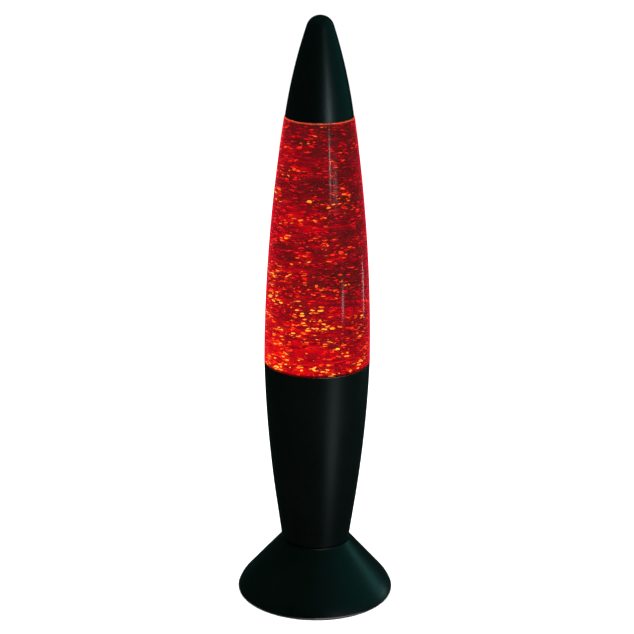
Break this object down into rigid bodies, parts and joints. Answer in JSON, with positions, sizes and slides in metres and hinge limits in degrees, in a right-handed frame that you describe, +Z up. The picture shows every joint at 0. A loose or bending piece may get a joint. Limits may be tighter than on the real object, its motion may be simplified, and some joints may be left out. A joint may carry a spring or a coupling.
{
  "type": "glitter lamp",
  "caption": "Tapered table glitter lamp: black spun-metal cap, cup and flared base around a red glitter bottle lit from below by a reflector bulb.",
  "frame": {"origin": "centre of the lamp's footprint, on the surface it stands on", "axes": "+Z up the lamp's axis from the flare to the cap's nose, -Y to the front, +Y to the back, where the cable gland is"},
  "size_m": [0.1068, 0.1066, 0.4],
  "materials": {
    "black_paint": "satin",
    "cover_black": "matte",
    "brass": "satin",
    "zinc_steel": "satin",
    "holder_plastic": "satin",
    "porcelain": "gloss",
    "black_rubber": "matte",
    "block_plastic": "satin",
    "brown_silicone": "satin",
    "blue_silicone": "satin",
    "bottle_glass": "gloss",
    "red_liquid": "gloss",
    "red_glitter": "gloss",
    "crown_tin": "satin",
    "liner": "matte",
    "bulb_glass": "gloss",
    "bulb_cap_alloy": "satin",
    "black_vitrite": "gloss",
    "solder": "satin",
    "stem_glass": "gloss",
    "tungsten": "satin"
  },
  "bodies": {
    "base": {"upper_cup": "black_paint", "base_flare": "black_paint", "waist_nipple": "brass", "clamp_washer": "zinc_steel", "clamp_nut": "zinc_steel", "holder_dome": "holder_plastic", "holder_insert": "porcelain", "holder_terminal_screws": "zinc_steel", "holder_skirt": "holder_plastic", "holder_sleeve": "brass", "holder_centre_contact": "brass", "bottom_cover": "cover_black", "cover_posts": "zinc_steel", "cover_screws": "zinc_steel", "rubber_foot_1": "black_rubber", "rubber_foot_2": "black_rubber", "rubber_foot_3": "black_rubber", "rubber_foot_4": "black_rubber", "cable_gland": "black_rubber", "terminal_block": "block_plastic", "terminal_block_screws": "zinc_steel", "lead_live": "brown_silicone", "lead_neutral": "blue_silicone"},
    "bottle": {"bottle_glass": "bottle_glass", "glitter_liquid": "red_liquid", "glitter_flakes": "red_glitter", "crown_closure": "crown_tin", "crown_liner": "liner"},
    "cap": {"cap_shell": "black_paint"},
    "bulb_envelope": {"bulb_glass": "bulb_glass"},
    "bulb_screw": {"bulb_cap": "bulb_cap_alloy", "bulb_insulator": "black_vitrite", "bulb_contact": "solder", "bulb_stem": "stem_glass", "bulb_support_wires": "zinc_steel", "bulb_filament": "tungsten"}
  },
  "joints": [
    {"name": "bottle_lift", "type": "slide", "parent": "base", "child": "bottle", "axis": [0, 0, 1], "range_m": [0, 0.08]},
    {"name": "cap_lift", "type": "slide", "parent": "bottle", "child": "cap", "axis": [0, 0, 1], "range_m": [0, 0.06]},
    {"name": "bulb_rise", "type": "slide", "parent": "base", "child": "bulb_envelope", "axis": [0, 0, 1], "range_m": [0, 0.0141]},
    {"name": "bulb_unscrew", "type": "hinge", "parent": "bulb_envelope", "child": "bulb_screw", "pos_m": [0, 0, 0.07], "axis": [0, 0, 1], "range_deg": [0, 1800]}
  ],
  "couplings": [
    {"joint": "bulb_unscrew", "follows": "bulb_rise", "rad_per_m": 2226.5}
  ]
}
